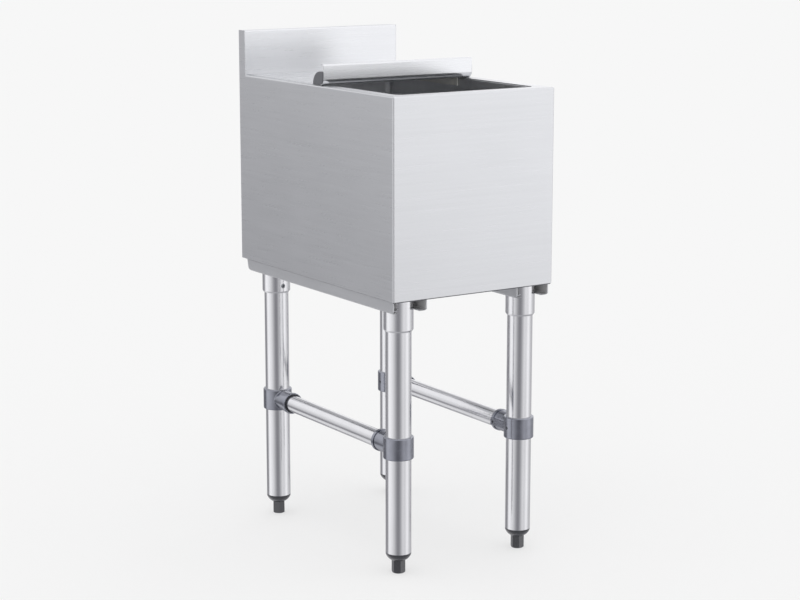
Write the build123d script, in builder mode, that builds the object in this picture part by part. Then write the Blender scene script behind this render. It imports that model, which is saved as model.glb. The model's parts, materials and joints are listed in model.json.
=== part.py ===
from build123d import *
import os

# Commercial underbar ice bin: an insulated tub in a bent sheet shell with a backsplash,
# on four tube legs with adjustable feet, with a lid that slides along the rim.
# Frame: X to the right, Y to the back (the front panel faces -Y), Z up from the floor, in mm.
# The origin is on the floor, under the middle of the bin's width and depth.

# Shell
bin_width = 304.8
bin_depth = 482.6
rim_height = 766.0
apron_drop = 316.0
sheet = 1.2
skin_bend = 2.4
rim_bend = 2.2
rim_width = 22.0

# Backsplash
splash_rise = 75.0
splash_depth = 20.0
splash_bend = 1.2
rear_ledge = 14.0
back_flange = 12.0
flange_relief = 1.0

# Bottom pan
pan_recess = 4.0
pan_flange = 12.0
pan_bend = 2.4
pan_notch = 5.0

# Tub
floor_insulation = 25.0
tub_corner = 14.0
tub_cove = 12.0
tub_flange = 10.0
tub_lip_round = 1.0
foam_gap = 0.3
foam_edge = 3.0

# Drain
dish_radius = 42.0
dish_seat_radius = 34.0
dish_depth = 4.0
dish_margin = 4.0
dish_bend = 2.0
drain_radius = 16.6
drain_bore = 12.7
drain_reach = 42.0
drain_tail_radius = 15.5
drain_tail_length = 24.0
drain_flange_radius = 30.0
drain_flange_height = 3.0
drain_flange_rim = 1.5
drain_gap = 0.3
foam_hole_gap = 3.0
gasket_radius = 25.0
gasket_height = 3.0
nut_width = 46.0
nut_height = 8.0
nut_chamfer = 1.5
thread_gap = 0.05
strainer_radius = 20.0
strainer_height = 1.2
strainer_gap = 0.3
strainer_hole = 2.0
strainer_row_pitch = 7.0
strainer_row_count = 2
strainer_first_row_count = 6

# Channels under the pan
channel_width = 63.0
channel_height = 24.5
channel_wall = 2.0
channel_bend = 4.0
channel_lip = 11.0
channel_side_inset = 3.0
channel_front_inset = 6.0
channel_rear_inset = 11.6
channel_rear_slope = 6.0
channel_rear_round = 10.0
channel_front_round = 5.5

# Legs and their sockets
leg_radius = 20.65
leg_wall = 1.2
front_leg_inset = 39.0
rear_leg_inset = 57.6
leg_bottom = 34.0
socket_radius = 23.8
socket_mouth_radius = 21.8
socket_mouth_taper = 3.0
socket_drop = 33.5
socket_crown = 3.0
socket_gap = 0.15
notch_gap = 0.5

# Set screws
socket_screw_radius = 4.0
socket_screw_rise = 12.5
socket_screw_key = 4.0
clamp_screw_radius = 3.0
clamp_screw_key = 3.0
screw_gap = 0.1
screw_recess = 0.5
screw_key_depth = 1.8

# Cast tees and side rails
rail_height = 207.5
rail_radius = 14.3
rail_wall = 1.2
ring_radius = 24.5
ring_height = 35.5
ring_round = 1.5
tee_radius = 17.0
tee_reach = 53.5
tee_root = 2.0
mouth_radius = 18.25
mouth_length = 6.0
mouth_round = 0.8
rail_seat = 26.0
boss_reach = 19.5
boss_width = 12.0
boss_round = 1.0
boss_setback = 1.0
rail_screw_inset = 7.5

# Feet
insert_rim = 2.0
insert_cone = 10.0
insert_cone_radius = 12.2
insert_plug = 28.0
insert_plug_gap = 0.15
foot_post_radius = 11.2
foot_hex_width = 19.4
foot_hex_height = 11.0
foot_tread_radius = 8.2
foot_tread_height = 3.0
foot_tread_bulge = 0.7
stud_radius = 6.0
stud_gap = 0.05
stud_floor = 4.0
stud_rise = 38.0
stud_chamfer = 1.0

# Sliding lid
lid_sheet = 1.2
lid_side_inset = 8.0
lid_length = 243.8
lid_rear_gap = 0.3
lid_lip_rise = 34.0
lid_lip_return = 8.0
lid_base_bend = 10.0
lid_top_bend = 3.0
cap_width = 29.0
cap_depth = 30.8
cap_rise = 20.8
cap_front_round = 9.4
cap_edge = 1.0
cap_skirt = 1.0
cap_skirt_gap = 0.3
cap_side_gap = 0.1
guide_gap = 1.0
guide_setback = 18.8
guide_flange = 5.0
guide_drop = 14.0
guide_wall = 1.8
lid_screw_radius = 1.5
lid_screw_head = 3.0
lid_screw_head_height = 1.8
lid_screw_chamfer = 0.6
lid_screw_length = 8.0
lid_screw_inset = 4.0
lid_screw_setback = 20.0
lid_hole_gap = 0.3

# Planes and faces that the pieces share
half_width = bin_width / 2
front_face = -bin_depth / 2
back_face = bin_depth / 2
skin_bottom = rim_height - apron_drop
splash_top = rim_height + splash_rise
splash_face = back_face - splash_depth
splash_middle = back_face - splash_depth / 2
inner_half = half_width - sheet
mouth_half = half_width - rim_width
mouth_front = front_face + rim_width
mouth_back = splash_face - rear_ledge
mouth_length_y = mouth_back - mouth_front
mouth_middle = (mouth_front + mouth_back) / 2
pan_bottom = skin_bottom + pan_recess
pan_top = pan_bottom + sheet
tub_bottom = pan_top + floor_insulation
tub_floor = tub_bottom + sheet
tub_top = rim_height - sheet
dish_floor = tub_floor - dish_depth
channel_bottom = pan_bottom - channel_height
channel_x = half_width - channel_side_inset - channel_width / 2
channel_web = pan_bottom - channel_wall
leg_x = channel_x
front_leg_y = front_face + front_leg_inset
rear_leg_y = back_face - rear_leg_inset
socket_bottom = channel_bottom - socket_drop
leg_top = channel_web - socket_crown
lid_top = rim_height + lid_sheet
lid_half = half_width - lid_side_inset
lid_rear = splash_face - splash_bend - lid_rear_gap
lid_front = lid_rear - lid_length
lip_rear = lid_front + lid_sheet
# The lid slides forward until the guides' front ends reach the tub's rounded front corners.
guide_front = lid_front + guide_setback
guide_rear = mouth_back - tub_corner
ends = (("front", front_leg_y, 1), ("rear", rear_leg_y, -1))
sides = (("left", -1), ("right", 1))

os.makedirs("parts", exist_ok=True)


def save(piece, name):
    """Label a finished piece and write its file."""
    piece.part.label = name
    export_step(piece.part, f"parts/{name}.step")


def bent_sheet(points, radii, thickness, side):
    """Section of a bent sheet: one face follows the points, the other lies to the given side."""
    with BuildSketch() as section:
        with BuildLine():
            FilletPolyline(*points, radius=radii)
            offset(amount=thickness, side=side)
        make_face()
    return section.sketch


# Outer skin: front and both sides from one sheet, the top edge folded in as the rim
with BuildPart() as outer_skin:
    with BuildSketch(Plane.XY.offset(skin_bottom)):
        Rectangle(bin_width, bin_depth)
    extrude(amount=apron_drop)
    fillet(outer_skin.edges().filter_by(Axis.Z).group_by(Axis.Y)[0], skin_bend)
    rim_face = outer_skin.faces().sort_by(Axis.Z)[-1]
    fillet(rim_face.edges().sort_by(Axis.Y)[:-1], rim_bend)
    open_faces = [outer_skin.faces().sort_by(Axis.Z)[0], outer_skin.faces().sort_by(Axis.Y)[-1]]
    offset(amount=-sheet, openings=open_faces)
    with BuildSketch(Plane.XY.offset(rim_height)) as mouth:
        with Locations((0, (mouth_front + back_face) / 2)):
            Rectangle(2 * mouth_half, back_face - mouth_front)
        fillet(mouth.vertices().group_by(Axis.Y)[0], tub_corner)
    extrude(amount=-2 * sheet, mode=Mode.SUBTRACT)
    # The rim stops at the backsplash, where the side sheets run on up as its ends.
    with BuildSketch(Plane.XY.offset(rim_height)):
        with Locations((0, splash_middle)):
            Rectangle(2 * inner_half, splash_depth)
    extrude(amount=-rim_bend - sheet, mode=Mode.SUBTRACT)
    with BuildSketch(Plane.XY.offset(skin_bottom)):
        for _, side in sides:
            with Locations((side * (half_width - sheet / 2), splash_middle)):
                Rectangle(sheet, splash_depth)
    extrude(amount=splash_top - skin_bottom)
save(outer_skin, "outer_skin")

# Backsplash face: upstand, top return and the ledge behind the tub, from one strip
splash_section = bent_sheet(
    [
        (back_face, splash_top),
        (splash_face, splash_top),
        (splash_face, rim_height),
        (mouth_back, rim_height),
    ],
    [splash_bend + sheet, splash_bend],
    sheet,
    Side.LEFT,
)
with BuildPart() as backsplash_face:
    with BuildSketch(Plane.YZ.offset(-inner_half)):
        add(splash_section)
    extrude(amount=2 * inner_half)
    with BuildSketch(Plane.XY.offset(rim_height - sheet)):
        for _, side in sides:
            with Locations((side * (mouth_half + inner_half) / 2, splash_face - rear_ledge / 2)):
                Rectangle(inner_half - mouth_half, rear_ledge)
    extrude(amount=sheet + splash_bend, mode=Mode.SUBTRACT)
save(backsplash_face, "backsplash_face")

# Back panel: flat sheet with side flanges against the skin's side sheets
back_section = bent_sheet(
    [
        (-inner_half, back_face - back_flange),
        (-inner_half, back_face),
        (inner_half, back_face),
        (inner_half, back_face - back_flange),
    ],
    [splash_bend + sheet, splash_bend + sheet],
    sheet,
    Side.RIGHT,
)
with BuildPart() as back_panel:
    with BuildSketch(Plane.XY.offset(skin_bottom)):
        add(back_section)
    extrude(amount=splash_top - sheet - skin_bottom)
    with BuildSketch(Plane.XY.offset(skin_bottom)):
        with Locations((0, back_face - sheet - back_flange / 2)):
            Rectangle(bin_width, back_flange)
    extrude(amount=pan_recess + pan_flange + flange_relief, mode=Mode.SUBTRACT)
save(back_panel, "back_panel")

# Bottom pan: a tray with notched corners, its flanges up against the shell
with BuildPart() as bottom_pan:
    with BuildSketch(Plane.XY.offset(pan_bottom)):
        Rectangle(2 * inner_half, bin_depth - 2 * sheet)
    extrude(amount=pan_flange)
    fillet(bottom_pan.faces().sort_by(Axis.Z)[0].edges(), pan_bend)
    offset(amount=-sheet, openings=bottom_pan.faces().sort_by(Axis.Z)[-1])
    with BuildSketch(Plane.XY.offset(pan_bottom)):
        with GridLocations(2 * inner_half, bin_depth - 2 * sheet, 2, 2):
            Rectangle(2 * pan_notch, 2 * pan_notch)
        with Locations((0, mouth_middle)):
            Circle(drain_radius + drain_gap)
    extrude(amount=pan_flange, mode=Mode.SUBTRACT)
save(bottom_pan, "bottom_pan")

# Ice liner: coved tub with a flange under the rim and a pressed dish for the drain
drain_axis = Axis((0, mouth_middle, 0), (0, 0, 1))
drain_section = Plane.XZ.offset(-mouth_middle)
dish_profile = bent_sheet(
    [
        (dish_radius + dish_margin, tub_floor),
        (dish_radius, tub_floor),
        (dish_seat_radius, dish_floor),
        (drain_radius + drain_gap, dish_floor),
    ],
    [dish_bend, dish_bend],
    sheet,
    Side.LEFT,
)
with BuildPart() as ice_liner:
    with BuildSketch(Plane.XY.offset(tub_bottom)):
        with Locations((0, mouth_middle)):
            RectangleRounded(2 * (mouth_half + sheet), mouth_length_y + 2 * sheet, tub_corner + sheet)
    extrude(amount=tub_top - tub_bottom)
    fillet(ice_liner.faces().sort_by(Axis.Z)[0].edges(), tub_cove + sheet)
    offset(amount=-sheet, openings=ice_liner.faces().sort_by(Axis.Z)[-1])
    with BuildSketch(Plane.XY.offset(tub_top)):
        with Locations((0, mouth_middle)):
            RectangleRounded(
                2 * (mouth_half + tub_flange), mouth_length_y + 2 * tub_flange, tub_corner + tub_flange
            )
            RectangleRounded(2 * mouth_half, mouth_length_y, tub_corner, mode=Mode.SUBTRACT)
    extrude(amount=-sheet)
    lip_edges = ice_liner.faces().sort_by(Axis.Z)[-1].inner_wires()[0].edges()
    fillet(lip_edges, tub_lip_round)
    with BuildSketch(Plane.XY.offset(tub_bottom)):
        with Locations((0, mouth_middle)):
            Circle(dish_radius + dish_margin)
    extrude(amount=sheet, mode=Mode.SUBTRACT)
    with BuildSketch(drain_section):
        add(dish_profile)
    revolve(axis=drain_axis)
save(ice_liner, "ice_liner")

# Insulation: rigid foam between the tub and the shell
with BuildPart() as insulation:
    with BuildSketch(Plane.XY.offset(pan_top)):
        Rectangle(2 * (inner_half - sheet), bin_depth - 4 * sheet)
    extrude(amount=tub_top - sheet - pan_top)
    chamfer(insulation.edges().filter_by(Axis.Z), foam_edge)
    chamfer(insulation.faces().sort_by(Axis.Z)[0].edges(), foam_edge)
    with BuildSketch(Plane.XY.offset(tub_bottom - foam_gap)):
        with Locations((0, mouth_middle)):
            RectangleRounded(
                2 * (mouth_half + sheet + foam_gap),
                mouth_length_y + 2 * (sheet + foam_gap),
                tub_corner + sheet + foam_gap,
            )
    extrude(amount=tub_top - tub_bottom, mode=Mode.SUBTRACT)
    with BuildSketch(Plane.XY.offset(tub_bottom - foam_gap)):
        with Locations((0, mouth_middle)):
            Circle(dish_radius + dish_margin)
    extrude(amount=-dish_depth - sheet, mode=Mode.SUBTRACT)
    with BuildSketch(Plane.XY.offset(pan_top)):
        with Locations((0, mouth_middle)):
            Circle(drain_radius + foam_hole_gap)
    extrude(amount=floor_insulation, mode=Mode.SUBTRACT)
save(insulation, "insulation")

# Drain spud: flange in the dish, threaded shank through the pan, a turned-down tail for the hose
# and a seat for the strainer
spud_top = dish_floor + drain_flange_height
spud_bottom = pan_bottom - drain_reach
tail_top = spud_bottom + drain_tail_length
strainer_seat = spud_top - strainer_height
with BuildPart() as drain_spud:
    with BuildSketch(drain_section):
        with BuildLine():
            Polyline(
                (drain_bore, spud_bottom),
                (drain_tail_radius, spud_bottom),
                (drain_tail_radius, tail_top),
                (drain_radius, tail_top),
                (drain_radius, dish_floor),
                (drain_flange_radius, dish_floor),
                (drain_flange_radius, dish_floor + drain_flange_rim),
                (strainer_radius + strainer_height, spud_top),
                (strainer_radius, spud_top),
                (strainer_radius, strainer_seat),
                (drain_bore, strainer_seat),
                close=True,
            )
        make_face()
    revolve(axis=drain_axis)
save(drain_spud, "drain_spud")

# Strainer: perforated disc that drops into the spud
with BuildPart() as drain_strainer:
    with BuildSketch(Plane.XY.offset(strainer_seat)):
        with Locations((0, mouth_middle)):
            Circle(strainer_radius - strainer_gap)
            Circle(strainer_hole, mode=Mode.SUBTRACT)
            for row in range(1, strainer_row_count + 1):
                with PolarLocations(row * strainer_row_pitch, row * strainer_first_row_count):
                    Circle(strainer_hole, mode=Mode.SUBTRACT)
    extrude(amount=strainer_height)
save(drain_strainer, "drain_strainer")

# Drain gasket and locknut under the pan
gasket_bottom = pan_bottom - gasket_height
with BuildPart() as drain_gasket:
    with BuildSketch(Plane.XY.offset(gasket_bottom)):
        with Locations((0, mouth_middle)):
            Circle(gasket_radius)
            Circle(drain_radius + drain_gap, mode=Mode.SUBTRACT)
    extrude(amount=gasket_height)
save(drain_gasket, "drain_gasket")

with BuildPart() as drain_locknut:
    with BuildSketch(Plane.XY.offset(gasket_bottom - nut_height)):
        with Locations((0, mouth_middle)):
            Circle(nut_width / 2 + nut_chamfer)
    extrude(amount=nut_height)
    chamfer(drain_locknut.edges().filter_by(GeomType.CIRCLE), nut_chamfer)
    with BuildSketch(Plane.XY.offset(gasket_bottom - nut_height)):
        with Locations((0, mouth_middle)):
            RegularPolygon(nut_width / 2, 6, major_radius=False)
            Circle(drain_radius + thread_gap, mode=Mode.SUBTRACT)
    extrude(amount=nut_height, mode=Mode.INTERSECT)
save(drain_locknut, "drain_locknut")


def floor_channel(side):
    """Lipped channel under the pan, with its ends trimmed and its lips notched for the sockets."""
    lip_inner = channel_width / 2 - channel_lip
    with BuildPart() as channel:
        with BuildSketch(Plane.XZ.offset(-back_face)):
            with Locations((side * channel_x, channel_bottom + channel_height / 2)):
                RectangleRounded(channel_width, channel_height, channel_bend)
                RectangleRounded(
                    channel_width - 2 * channel_wall,
                    channel_height - 2 * channel_wall,
                    channel_bend - channel_wall,
                    mode=Mode.SUBTRACT,
                )
            with Locations((side * channel_x, channel_bottom + channel_wall / 2)):
                Rectangle(2 * lip_inner, channel_wall, mode=Mode.SUBTRACT)
        extrude(amount=bin_depth)
        with BuildSketch(Plane.YZ.offset(side * channel_x)) as side_view:
            with BuildLine():
                Polyline(
                    (front_face + channel_front_inset, pan_bottom),
                    (front_face + channel_front_inset, channel_bottom),
                    (back_face - channel_rear_inset - channel_rear_slope, channel_bottom),
                    (back_face - channel_rear_inset, pan_bottom),
                    close=True,
                )
            make_face()
            fillet(side_view.vertices().group_by(Axis.Y)[0].sort_by(Axis.X)[0], channel_front_round)
            fillet(side_view.vertices().group_by(Axis.Y)[0].sort_by(Axis.X)[-1], channel_rear_round)
        extrude(amount=channel_width, both=True, mode=Mode.INTERSECT)
        with BuildSketch(Plane.XY.offset(channel_bottom)):
            with Locations((side * leg_x, front_leg_y), (side * leg_x, rear_leg_y)):
                Circle(socket_radius + notch_gap)
        extrude(amount=channel_wall, mode=Mode.SUBTRACT)
    return channel


def leg_socket(x, y, inward):
    """Cup welded up into the channel, with a tapered mouth and a tapped hole for its set screw."""
    with BuildPart() as socket:
        with BuildSketch(Plane.XZ.offset(-y)):
            with BuildLine():
                Polyline(
                    (x, channel_web),
                    (x + socket_radius, channel_web),
                    (x + socket_radius, socket_bottom + socket_mouth_taper),
                    (x + socket_mouth_radius, socket_bottom),
                    (x + leg_radius + socket_gap, socket_bottom),
                    (x + leg_radius + socket_gap, leg_top),
                    (x, leg_top),
                    close=True,
                )
            make_face()
        revolve(axis=Axis((x, y, 0), (0, 0, 1)))
        with BuildSketch(outward_plane(x, y, socket_bottom + socket_screw_rise, (0, inward, 0))):
            Circle(socket_screw_radius)
        extrude(amount=socket_radius, mode=Mode.SUBTRACT)
    return socket


def outward_plane(x, y, z, direction):
    """Plane at a point, facing along the direction, for a hole or a screw."""
    return Plane(origin=(x, y, z), z_dir=direction)


def tube(plane, radius, wall, length):
    """Straight tube from the plane along its normal."""
    with BuildPart() as piece:
        with BuildSketch(plane):
            Circle(radius)
            Circle(radius - wall, mode=Mode.SUBTRACT)
        extrude(amount=length)
    return piece


def tee_clamp(x, y, inward, to_middle):
    """Cast tee: a ring round the leg and a socket for the side rail, with a boss for its screw."""
    rail_plane = outward_plane(x, y, rail_height, (0, inward, 0))
    ring_plane = Plane(origin=(x, y, rail_height - ring_height / 2))
    boss_plane = Plane(origin=(x, y, rail_height), x_dir=(to_middle, 0, 0), z_dir=(0, inward, 0))
    with BuildPart() as clamp:
        with BuildSketch(ring_plane):
            Circle(ring_radius)
        extrude(amount=ring_height)
        fillet(clamp.edges().filter_by(GeomType.CIRCLE), ring_round)
        with BuildSketch(rail_plane):
            Circle(tee_radius)
        extrude(amount=tee_reach)
        fillet(clamp.edges(Select.NEW).filter_by(GeomType.BSPLINE), tee_root)
        with BuildSketch(rail_plane.offset(tee_reach - mouth_length)):
            Circle(mouth_radius)
        extrude(amount=mouth_length)
        round_edges = clamp.edges().filter_by(GeomType.CIRCLE)
        fillet(round_edges.sort_by_distance(rail_plane.origin)[-1], mouth_round)
        with BuildSketch(boss_plane) as boss:
            with Locations((boss_reach / 2, 0)):
                Rectangle(boss_reach, boss_width)
            fillet(boss.vertices().group_by(Axis.X)[-1], boss_round)
        extrude(amount=tee_reach - boss_setback)
        with BuildSketch(ring_plane):
            Circle(leg_radius + socket_gap)
        extrude(amount=ring_height, mode=Mode.SUBTRACT)
        with BuildSketch(rail_plane.offset(rail_seat)):
            Circle(rail_radius + socket_gap)
        extrude(amount=tee_reach - rail_seat, mode=Mode.SUBTRACT)
        with BuildSketch(outward_plane(x, y, rail_height, (to_middle, 0, 0))):
            Circle(clamp_screw_radius)
        extrude(amount=ring_radius, mode=Mode.SUBTRACT)
        screw_y = y + inward * (tee_reach - rail_screw_inset)
        with BuildSketch(outward_plane(x, screw_y, rail_height, (to_middle, 0, 0))):
            Circle(clamp_screw_radius)
        extrude(amount=boss_reach, mode=Mode.SUBTRACT)
    return clamp


def set_screws(planes, radius, length, key_width):
    """Socket set screws: each plane lies on a screw's inner end and faces outward."""
    with BuildPart() as screws:
        for plane in planes:
            with BuildSketch(plane):
                Circle(radius - screw_gap)
            extrude(amount=length)
            with BuildSketch(plane.offset(length)):
                RegularPolygon(key_width / 2, 6, major_radius=False)
            extrude(amount=-screw_key_depth, mode=Mode.SUBTRACT)
    return screws


def foot_insert(x, y):
    """Moulded plug in the tube's end: collar, cone and a bore for the stud."""
    plug_radius = leg_radius - leg_wall - insert_plug_gap
    cone_bottom = leg_bottom - insert_rim - insert_cone
    with BuildPart() as insert:
        with BuildSketch(Plane.XZ.offset(-y)):
            with BuildLine():
                Polyline(
                    (x + stud_radius + stud_gap, cone_bottom),
                    (x + insert_cone_radius, cone_bottom),
                    (x + leg_radius, leg_bottom - insert_rim),
                    (x + leg_radius, leg_bottom),
                    (x + plug_radius, leg_bottom),
                    (x + plug_radius, leg_bottom + insert_plug),
                    (x + stud_radius + stud_gap, leg_bottom + insert_plug),
                    close=True,
                )
            make_face()
        revolve(axis=Axis((x, y, 0), (0, 0, 1)))
    return insert


def foot_base(x, y):
    """Foot: a hexagon for the wrench with a rounded tread, turned to a round post above."""
    post_top = leg_bottom - insert_rim - insert_cone
    with BuildPart() as foot:
        with BuildSketch(Plane.XY):
            with Locations((x, y)):
                RegularPolygon(foot_hex_width / 2, 6, major_radius=False)
        extrude(amount=foot_hex_height)
        with BuildSketch(Plane.XY.offset(foot_hex_height)):
            with Locations((x, y)):
                Circle(foot_post_radius)
        extrude(amount=post_top - foot_hex_height)
        with BuildSketch(Plane.XZ.offset(-y)):
            with BuildLine():
                tread = Polyline((x, post_top), (x, 0), (x + foot_tread_radius, 0))
                edge = SagittaArc(tread @ 1, (x + foot_post_radius, foot_tread_height), -foot_tread_bulge)
                Polyline(edge @ 1, (x + foot_post_radius, post_top), (x, post_top))
            make_face()
        revolve(axis=Axis((x, y, 0), (0, 0, 1)), mode=Mode.INTERSECT)
        with BuildSketch(Plane.XY.offset(stud_floor)):
            with Locations((x, y)):
                Circle(stud_radius + stud_gap)
        extrude(amount=post_top - stud_floor, mode=Mode.SUBTRACT)
    return foot


def foot_stud(x, y):
    """Threaded stud from the foot up into the insert."""
    post_top = leg_bottom - insert_rim - insert_cone
    with BuildPart() as stud:
        with BuildSketch(Plane.XY.offset(stud_floor)):
            with Locations((x, y)):
                Circle(stud_radius)
        extrude(amount=post_top + stud_rise - stud_floor)
        chamfer(stud.edges().sort_by(Axis.Z)[-1], stud_chamfer)
    return stud


def lid_cap(side):
    """Moulded end cap behind the lid's lip: flat top, quarter-round rear and a skirt past the edge."""
    cap_rear = lip_rear + cap_depth
    cap_top = lid_top + cap_rise
    cap_outer = side * (lid_half + cap_skirt)
    skirt_start = lip_rear + cap_front_round
    with BuildPart() as cap:
        with BuildSketch(Plane.YZ.offset(cap_outer)) as profile:
            with BuildLine():
                flats = Polyline(
                    (cap_rear, lid_top),
                    (lip_rear, lid_top),
                    (lip_rear, cap_top),
                    (cap_rear - cap_rise, cap_top),
                )
                JernArc(flats @ 1, flats % 1, cap_rise, -90)
            make_face()
            fillet(profile.vertices().group_by(Axis.X)[0].sort_by(Axis.Y)[0], cap_front_round)
        extrude(amount=-side * cap_width)
        round_edges = cap.edges().filter_by(GeomType.CIRCLE)
        fillet(round_edges.filter_by(lambda edge: edge.radius > cap_front_round), cap_edge)
        with BuildSketch(Plane.YZ.offset(cap_outer)):
            with Locations(((skirt_start + cap_rear) / 2, (rim_height + cap_skirt_gap + lid_top) / 2)):
                Rectangle(cap_rear - skirt_start, lid_sheet - cap_skirt_gap)
        extrude(amount=-side * (cap_skirt - cap_side_gap))
        with BuildSketch(Plane.XY.offset(lid_top)):
            with Locations((side * lid_screw_x, lid_screw_y)):
                Circle(lid_screw_radius + thread_gap)
        extrude(amount=lid_screw_length, mode=Mode.SUBTRACT)
    return cap


def lid_guide(side):
    """Angle under the lid that runs just inside the tub's mouth."""
    guide_outer = side * (mouth_half - guide_gap)
    with BuildPart() as guide:
        with BuildSketch(Plane.XZ.offset(-guide_front)):
            with BuildLine():
                Polyline(
                    (guide_outer, rim_height),
                    (guide_outer, rim_height - guide_drop),
                    (guide_outer - side * guide_wall, rim_height - guide_drop),
                    (guide_outer - side * guide_wall, rim_height - guide_wall),
                    (guide_outer - side * guide_flange, rim_height - guide_wall),
                    (guide_outer - side * guide_flange, rim_height),
                    close=True,
                )
            make_face()
        extrude(amount=guide_front - guide_rear)
    return guide


# Channels, sockets, legs, tees and feet, corner by corner
socket_screw_planes = []
clamp_screw_planes = []
rail_screw_planes = []
for side_name, side in sides:
    save(floor_channel(side), f"channel_{side_name}")
    x = side * leg_x
    for end_name, y, inward in ends:
        corner = f"{end_name}_{side_name}"
        save(leg_socket(x, y, inward), f"leg_socket_{corner}")
        leg_plane = Plane(origin=(x, y, leg_bottom))
        save(tube(leg_plane, leg_radius, leg_wall, leg_top - leg_bottom), f"leg_{corner}")
        save(tee_clamp(x, y, inward, -side), f"tee_clamp_{corner}")
        save(foot_insert(x, y), f"foot_insert_{corner}")
        save(foot_base(x, y), f"foot_{corner}")
        save(foot_stud(x, y), f"foot_stud_{corner}")
        screw_z = socket_bottom + socket_screw_rise
        seat = leg_radius + screw_gap
        rail_screw_y = y + inward * (tee_reach - rail_screw_inset)
        rail_screw_x = x - side * (rail_radius + screw_gap)
        socket_screw_planes.append(outward_plane(x, y + inward * seat, screw_z, (0, inward, 0)))
        clamp_screw_planes.append(outward_plane(x - side * seat, y, rail_height, (-side, 0, 0)))
        rail_screw_planes.append(outward_plane(rail_screw_x, rail_screw_y, rail_height, (-side, 0, 0)))
    rail_start = front_leg_y + rail_seat
    rail_length = rear_leg_y - rail_seat - rail_start
    rail_plane = Plane(origin=(x, rail_start, rail_height), z_dir=(0, 1, 0))
    save(tube(rail_plane, rail_radius, rail_wall, rail_length), f"side_rail_{side_name}")

socket_screw_length = socket_radius - leg_radius - screw_gap - screw_recess
ring_screw_length = ring_radius - leg_radius - screw_gap - screw_recess
rail_screw_length = boss_reach - rail_radius - screw_gap - screw_recess
screw_sets = (
    ("socket", socket_screw_planes, socket_screw_radius, socket_screw_length, socket_screw_key),
    ("ring", clamp_screw_planes, clamp_screw_radius, ring_screw_length, clamp_screw_key),
    ("rail", rail_screw_planes, clamp_screw_radius, rail_screw_length, clamp_screw_key),
)
for place, planes, radius, length, key_width in screw_sets:
    save(set_screws(planes, radius, length, key_width), f"{place}_set_screws")

# Sliding lid: flat sheet on the rim with a raised front lip
lid_screw_x = lid_half + cap_skirt - cap_width + lid_screw_inset
lid_screw_y = lip_rear + lid_screw_setback
lid_section = bent_sheet(
    [
        (lid_rear, rim_height),
        (lid_front, rim_height),
        (lid_front, rim_height + lid_lip_rise),
        (lid_front + lid_lip_return, rim_height + lid_lip_rise),
    ],
    [lid_base_bend, lid_top_bend],
    lid_sheet,
    Side.RIGHT,
)
with BuildPart() as lid_panel:
    with BuildSketch(Plane.YZ.offset(-lid_half)):
        add(lid_section)
    extrude(amount=2 * lid_half)
    with BuildSketch(Plane.XY.offset(rim_height)):
        with Locations((-lid_screw_x, lid_screw_y), (lid_screw_x, lid_screw_y)):
            Circle(lid_screw_radius + lid_hole_gap)
    extrude(amount=lid_sheet, mode=Mode.SUBTRACT)
save(lid_panel, "lid_panel")

for side_name, side in sides:
    save(lid_cap(side), f"lid_cap_{side_name}")
    save(lid_guide(side), f"lid_guide_{side_name}")

with BuildPart() as lid_screws:
    screw_spots = [(-lid_screw_x, lid_screw_y), (lid_screw_x, lid_screw_y)]
    with BuildSketch(Plane.XY.offset(rim_height)):
        with Locations(*screw_spots):
            Circle(lid_screw_head)
    extrude(amount=-lid_screw_head_height)
    chamfer(lid_screws.edges().group_by(Axis.Z)[0], lid_screw_chamfer)
    with BuildSketch(Plane.XY.offset(rim_height)):
        with Locations(*screw_spots):
            Circle(lid_screw_radius)
    extrude(amount=lid_sheet + lid_screw_length)
save(lid_screws, "lid_screws")
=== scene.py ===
"""Underbar ice bin: finishes and turned detail for its pieces, and a plain studio round it."""

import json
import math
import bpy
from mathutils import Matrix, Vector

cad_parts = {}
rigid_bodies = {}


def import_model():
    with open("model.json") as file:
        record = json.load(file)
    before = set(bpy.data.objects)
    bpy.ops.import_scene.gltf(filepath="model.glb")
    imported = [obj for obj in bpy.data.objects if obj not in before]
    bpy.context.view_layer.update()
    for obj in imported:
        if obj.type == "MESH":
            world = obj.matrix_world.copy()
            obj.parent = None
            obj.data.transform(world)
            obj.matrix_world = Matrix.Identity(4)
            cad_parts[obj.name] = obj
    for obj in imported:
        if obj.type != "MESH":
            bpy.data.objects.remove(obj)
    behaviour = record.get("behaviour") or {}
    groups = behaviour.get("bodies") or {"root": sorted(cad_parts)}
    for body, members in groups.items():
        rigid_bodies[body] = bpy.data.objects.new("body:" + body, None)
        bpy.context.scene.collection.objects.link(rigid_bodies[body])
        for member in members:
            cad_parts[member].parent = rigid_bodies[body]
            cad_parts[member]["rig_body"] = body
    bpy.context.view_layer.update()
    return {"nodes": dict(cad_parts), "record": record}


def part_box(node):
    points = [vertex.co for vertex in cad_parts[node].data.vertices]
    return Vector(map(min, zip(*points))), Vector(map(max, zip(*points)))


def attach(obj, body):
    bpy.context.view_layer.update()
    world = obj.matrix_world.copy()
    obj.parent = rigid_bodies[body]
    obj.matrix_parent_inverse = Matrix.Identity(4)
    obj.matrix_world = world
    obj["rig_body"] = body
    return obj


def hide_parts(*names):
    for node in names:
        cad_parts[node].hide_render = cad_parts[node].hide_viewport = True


bl_info = {
    "name": "Ice Bin Finisher",
    "version": (1, 0, 0),
    "blender": (4, 5, 0),
    "location": "3D View > Sidebar > Ice Bin",
    "description": "Dresses the pieces of an underbar ice bin and lights them in a plain studio",
    "category": "Object",
}

import bmesh
import bpy
from bpy.props import FloatProperty, FloatVectorProperty, IntProperty, PointerProperty
from mathutils import Matrix, Vector

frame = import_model()

MM = 0.001
ENDS = ("front", "rear")
SIDES = ("left", "right")
CORNERS = [f"{end}_{side}" for end in ENDS for side in SIDES]
SLOT_OF = {row["node"]: row["material_slot"] for row in frame["record"]["subparts"]}

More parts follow.
